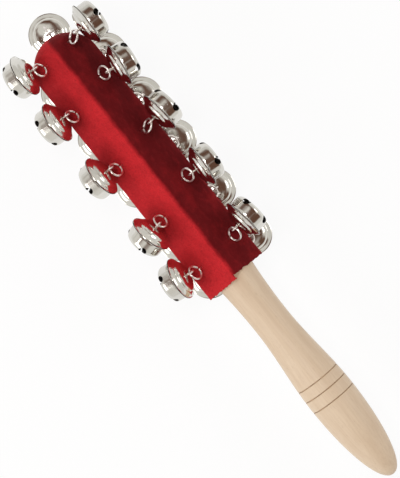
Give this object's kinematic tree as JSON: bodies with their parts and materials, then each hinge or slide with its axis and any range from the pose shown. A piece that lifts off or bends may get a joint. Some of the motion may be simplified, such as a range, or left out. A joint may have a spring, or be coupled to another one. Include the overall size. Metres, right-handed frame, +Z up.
{
  "type": "bell_stick",
  "caption": "Wooden bell stick: turned handle, square head in a red velvet sleeve, nickel jingle bells hanging on screw eyes along its faces and at its end.",
  "frame": {"origin": "centre of the footprint box, on the surface that the lower bells stand on", "axes": "+X along the stick from the head to the handle end, +Y to the right of the head seen from its end with +Z up, +Z up"},
  "size_m": [0.2656, 0.0568, 0.0557],
  "materials": {
    "pale_wood": "satin varnish over pale hardwood, brown scribed lines",
    "red_velvet": "short-pile velvet",
    "nickel": "bright nickel plate",
    "eye_wire": "nickel-plated steel wire",
    "steel_pellet": "plain steel"
  },
  "bodies": {
    "stick": {"wooden_stick": "pale_wood", "velvet_sleeve": "red_velvet", "screw_eye_upper_left_1": "eye_wire", "screw_eye_upper_left_2": "eye_wire", "screw_eye_upper_left_3": "eye_wire", "screw_eye_upper_left_4": "eye_wire", "screw_eye_upper_left_5": "eye_wire", "screw_eye_upper_right_1": "eye_wire", "screw_eye_upper_right_2": "eye_wire", "screw_eye_upper_right_3": "eye_wire", "screw_eye_upper_right_4": "eye_wire", "screw_eye_upper_right_5": "eye_wire", "screw_eye_lower_right_1": "eye_wire", "screw_eye_lower_right_2": "eye_wire", "screw_eye_lower_right_3": "eye_wire", "screw_eye_lower_right_4": "eye_wire", "screw_eye_lower_right_5": "eye_wire", "screw_eye_end": "eye_wire"},
    "bell_upper_left_1": {"bell_upper_left_1": "nickel"},
    "pellet_upper_left_1": {"pellet_upper_left_1": "steel_pellet"},
    "bell_upper_left_2": {"bell_upper_left_2": "nickel"},
    "pellet_upper_left_2": {"pellet_upper_left_2": "steel_pellet"},
    "bell_upper_left_3": {"bell_upper_left_3": "nickel"},
    "pellet_upper_left_3": {"pellet_upper_left_3": "steel_pellet"},
    "bell_upper_left_4": {"bell_upper_left_4": "nickel"},
    "pellet_upper_left_4": {"pellet_upper_left_4": "steel_pellet"},
    "bell_upper_left_5": {"bell_upper_left_5": "nickel"},
    "pellet_upper_left_5": {"pellet_upper_left_5": "steel_pellet"},
    "bell_upper_right_1": {"bell_upper_right_1": "nickel"},
    "pellet_upper_right_1": {"pellet_upper_right_1": "steel_pellet"},
    "bell_upper_right_2": {"bell_upper_right_2": "nickel"},
    "pellet_upper_right_2": {"pellet_upper_right_2": "steel_pellet"},
    "bell_upper_right_3": {"bell_upper_right_3": "nickel"},
    "pellet_upper_right_3": {"pellet_upper_right_3": "steel_pellet"},
    "bell_upper_right_4": {"bell_upper_right_4": "nickel"},
    "pellet_upper_right_4": {"pellet_upper_right_4": "steel_pellet"},
    "bell_upper_right_5": {"bell_upper_right_5": "nickel"},
    "pellet_upper_right_5": {"pellet_upper_right_5": "steel_pellet"},
    "bell_lower_right_1": {"bell_lower_right_1": "nickel"},
    "pellet_lower_right_1": {"pellet_lower_right_1": "steel_pellet"},
    "bell_lower_right_2": {"bell_lower_right_2": "nickel"},
    "pellet_lower_right_2": {"pellet_lower_right_2": "steel_pellet"},
    "bell_lower_right_3": {"bell_lower_right_3": "nickel"},
    "pellet_lower_right_3": {"pellet_lower_right_3": "steel_pellet"},
    "bell_lower_right_4": {"bell_lower_right_4": "nickel"},
    "pellet_lower_right_4": {"pellet_lower_right_4": "steel_pellet"},
    "bell_lower_right_5": {"bell_lower_right_5": "nickel"},
    "pellet_lower_right_5": {"pellet_lower_right_5": "steel_pellet"},
    "bell_lower_left_1": {"bell_lower_left_1": "nickel"},
    "pellet_lower_left_1": {"pellet_lower_left_1": "steel_pellet"},
    "bell_lower_left_2": {"bell_lower_left_2": "nickel"},
    "pellet_lower_left_2": {"pellet_lower_left_2": "steel_pellet"},
    "bell_lower_left_3": {"bell_lower_left_3": "nickel"},
    "pellet_lower_left_3": {"pellet_lower_left_3": "steel_pellet"},
    "bell_lower_left_4": {"bell_lower_left_4": "nickel"},
    "pellet_lower_left_4": {"pellet_lower_left_4": "steel_pellet"},
    "bell_lower_left_5": {"bell_lower_left_5": "nickel"},
    "pellet_lower_left_5": {"pellet_lower_left_5": "steel_pellet"},
    "bell_end": {"bell_end": "nickel"},
    "pellet_end": {"pellet_end": "steel_pellet"}
  },
  "joints": [
    {"name": "bell_upper_left_1_swing", "type": "hinge", "parent": "stick", "child": "bell_upper_left_1", "pos_m": [-0.11114, -0.01187, 0.0455], "axis": [0.9945, -0.0739, -0.0739], "range_deg": [-110, 0]},
    {"name": "pellet_upper_left_1_slide", "type": "slide", "parent": "bell_upper_left_1", "child": "pellet_upper_left_1", "axis": [0.0442, -0.3437, 0.9381], "range_m": [0, 0.0097]},
    {"name": "bell_upper_left_2_swing", "type": "hinge", "parent": "stick", "child": "bell_upper_left_2", "pos_m": [-0.08615, -0.0137, 0.04367], "axis": [0.9976, -0.0493, -0.0493], "range_deg": [-110, 0]},
    {"name": "pellet_upper_left_2_slide", "type": "slide", "parent": "bell_upper_left_2", "child": "pellet_upper_left_2", "axis": [0.0295, -0.3427, 0.939], "range_m": [0, 0.0097]},
    {"name": "bell_upper_left_3_swing", "type": "hinge", "parent": "stick", "child": "bell_upper_left_3", "pos_m": [-0.05524, -0.01321, 0.04416], "axis": [0.9998, 0.0123, 0.0123], "range_deg": [-110, 0]},
    {"name": "pellet_upper_left_3_slide", "type": "slide", "parent": "bell_upper_left_3", "child": "pellet_upper_left_3", "axis": [-0.0074, -0.3421, 0.9396], "range_m": [0, 0.0097]},
    {"name": "bell_upper_left_4_swing", "type": "hinge", "parent": "stick", "child": "bell_upper_left_4", "pos_m": [-0.02212, -0.01206, 0.04542], "axis": [0.9781, 0.147, 0.147], "range_deg": [-110, 0]},
    {"name": "pellet_upper_left_4_slide", "type": "slide", "parent": "bell_upper_left_4", "child": "pellet_upper_left_4", "axis": [-0.0879, -0.3486, 0.9332], "range_m": [0, 0.0097]},
    {"name": "bell_upper_left_5_swing", "type": "hinge", "parent": "stick", "child": "bell_upper_left_5", "pos_m": [0.00353, -0.01433, 0.04358], "axis": [0.9877, -0.1106, -0.1106], "range_deg": [-110, 0]},
    {"name": "pellet_upper_left_5_slide", "type": "slide", "parent": "bell_upper_left_5", "child": "pellet_upper_left_5", "axis": [0.0661, -0.3457, 0.936], "range_m": [0, 0.0097]},
    {"name": "bell_upper_right_1_swing", "type": "hinge", "parent": "stick", "child": "bell_upper_right_1", "pos_m": [-0.11235, 0.01339, 0.04644], "axis": [-1, 0, 0], "range_deg": [-97, 10]},
    {"name": "pellet_upper_right_1_slide", "type": "slide", "parent": "bell_upper_right_1", "child": "pellet_upper_right_1", "axis": [0, 0.1219, 0.9925], "range_m": [0, 0.0097]},
    {"name": "bell_upper_right_2_swing", "type": "hinge", "parent": "stick", "child": "bell_upper_right_2", "pos_m": [-0.08964, 0.0136, 0.04628], "axis": [-0.9903, 0.0984, -0.0984], "range_deg": [-97, 10]},
    {"name": "pellet_upper_right_2_slide", "type": "slide", "parent": "bell_upper_right_2", "child": "pellet_upper_right_2", "axis": [-0.0857, 0.1261, 0.9883], "range_m": [0, 0.0097]},
    {"name": "bell_upper_right_3_swing", "type": "hinge", "parent": "stick", "child": "bell_upper_right_3", "pos_m": [-0.06046, 0.01435, 0.04556], "axis": [-0.9903, -0.0984, 0.0984], "range_deg": [-97, 10]},
    {"name": "pellet_upper_right_3_slide", "type": "slide", "parent": "bell_upper_right_3", "child": "pellet_upper_right_3", "axis": [0.0857, 0.1261, 0.9883], "range_m": [0, 0.0097]},
    {"name": "bell_upper_right_4_swing", "type": "hinge", "parent": "stick", "child": "bell_upper_right_4", "pos_m": [-0.03096, 0.01438, 0.04564], "axis": [-0.9976, 0.0493, -0.0493], "range_deg": [-97, 10]},
    {"name": "pellet_upper_right_4_slide", "type": "slide", "parent": "bell_upper_right_4", "child": "pellet_upper_right_4", "axis": [-0.0429, 0.1229, 0.9915], "range_m": [0, 0.0097]},
    {"name": "bell_upper_right_5_swing", "type": "hinge", "parent": "stick", "child": "bell_upper_right_5", "pos_m": [0.00035, 0.01382, 0.04507], "axis": [-0.9848, -0.1228, 0.1228], "range_deg": [-97, 10]},
    {"name": "pellet_upper_right_5_slide", "type": "slide", "parent": "bell_upper_right_5", "child": "pellet_upper_right_5", "axis": [0.1069, 0.1285, 0.9859], "range_m": [0, 0.0097]},
    {"name": "bell_lower_right_1_swing", "type": "hinge", "parent": "stick", "child": "bell_lower_right_1", "pos_m": [-0.10064, 0.01844, 0.01265], "axis": [-1, 0, 0], "range_deg": [-90, 15]},
    {"name": "pellet_lower_right_1_slide", "type": "slide", "parent": "bell_lower_right_1", "child": "pellet_lower_right_1", "axis": [0, 0, 1], "range_m": [0, 0.0033]},
    {"name": "bell_lower_right_2_swing", "type": "hinge", "parent": "stick", "child": "bell_lower_right_2", "pos_m": [-0.07424, 0.01844, 0.01265], "axis": [-1, 0, 0], "range_deg": [-90, 15]},
    {"name": "pellet_lower_right_2_slide", "type": "slide", "parent": "bell_lower_right_2", "child": "pellet_lower_right_2", "axis": [0, 0, 1], "range_m": [0, 0.0033]},
    {"name": "bell_lower_right_3_swing", "type": "hinge", "parent": "stick", "child": "bell_lower_right_3", "pos_m": [-0.04884, 0.01844, 0.01265], "axis": [-1, 0, 0], "range_deg": [-90, 15]},
    {"name": "pellet_lower_right_3_slide", "type": "slide", "parent": "bell_lower_right_3", "child": "pellet_lower_right_3", "axis": [0, 0, 1], "range_m": [0, 0.0033]},
    {"name": "bell_lower_right_4_swing", "type": "hinge", "parent": "stick", "child": "bell_lower_right_4", "pos_m": [-0.01934, 0.01844, 0.01265], "axis": [-1, 0, 0], "range_deg": [-90, 15]},
    {"name": "pellet_lower_right_4_slide", "type": "slide", "parent": "bell_lower_right_4", "child": "pellet_lower_right_4", "axis": [0, 0, 1], "range_m": [0, 0.0033]},
    {"name": "bell_lower_right_5_swing", "type": "hinge", "parent": "stick", "child": "bell_lower_right_5", "pos_m": [0.00777, 0.01844, 0.01265], "axis": [-1, 0, 0], "range_deg": [-90, 15]},
    {"name": "pellet_lower_right_5_slide", "type": "slide", "parent": "bell_lower_right_5", "child": "pellet_lower_right_5", "axis": [0, 0, 1], "range_m": [0, 0.0033]},
    {"name": "bell_lower_left_1_swing", "type": "hinge", "parent": "stick", "child": "bell_lower_left_1", "pos_m": [-0.09923, -0.00914, 0.01265], "axis": [1, 0, 0], "range_deg": [-90, 15]},
    {"name": "pellet_lower_left_1_slide", "type": "slide", "parent": "bell_lower_left_1", "child": "pellet_lower_left_1", "axis": [0, 0, 1], "range_m": [0, 0.0033]},
    {"name": "bell_lower_left_2_swing", "type": "hinge", "parent": "stick", "child": "bell_lower_left_2", "pos_m": [-0.07154, -0.00914, 0.01265], "axis": [1, 0, 0], "range_deg": [-90, 15]},
    {"name": "pellet_lower_left_2_slide", "type": "slide", "parent": "bell_lower_left_2", "child": "pellet_lower_left_2", "axis": [0, 0, 1], "range_m": [0, 0.0033]},
    {"name": "bell_lower_left_3_swing", "type": "hinge", "parent": "stick", "child": "bell_lower_left_3", "pos_m": [-0.04324, -0.00914, 0.01265], "axis": [1, 0, 0], "range_deg": [-90, 15]},
    {"name": "pellet_lower_left_3_slide", "type": "slide", "parent": "bell_lower_left_3", "child": "pellet_lower_left_3", "axis": [0, 0, 1], "range_m": [0, 0.0033]},
    {"name": "bell_lower_left_4_swing", "type": "hinge", "parent": "stick", "child": "bell_lower_left_4", "pos_m": [-0.01143, -0.00914, 0.01265], "axis": [1, 0, 0], "range_deg": [-90, 15]},
    {"name": "pellet_lower_left_4_slide", "type": "slide", "parent": "bell_lower_left_4", "child": "pellet_lower_left_4", "axis": [0, 0, 1], "range_m": [0, 0.0033]},
    {"name": "bell_lower_left_5_swing", "type": "hinge", "parent": "stick", "child": "bell_lower_left_5", "pos_m": [0.01127, -0.00914, 0.01265], "axis": [1, 0, 0], "range_deg": [-90, 15]},
    {"name": "pellet_lower_left_5_slide", "type": "slide", "parent": "bell_lower_left_5", "child": "pellet_lower_left_5", "axis": [0, 0, 1], "range_m": [0, 0.0033]},
    {"name": "bell_end_swing", "type": "hinge", "parent": "stick", "child": "bell_end", "pos_m": [-0.12277, 0.00326, 0.02143], "axis": [1, 0, 0], "range_deg": [-28, 28]},
    {"name": "pellet_end_slide", "type": "slide", "parent": "bell_end", "child": "pellet_end", "axis": [0, 0, 1], "range_m": [0, 0.0033]}
  ]
}
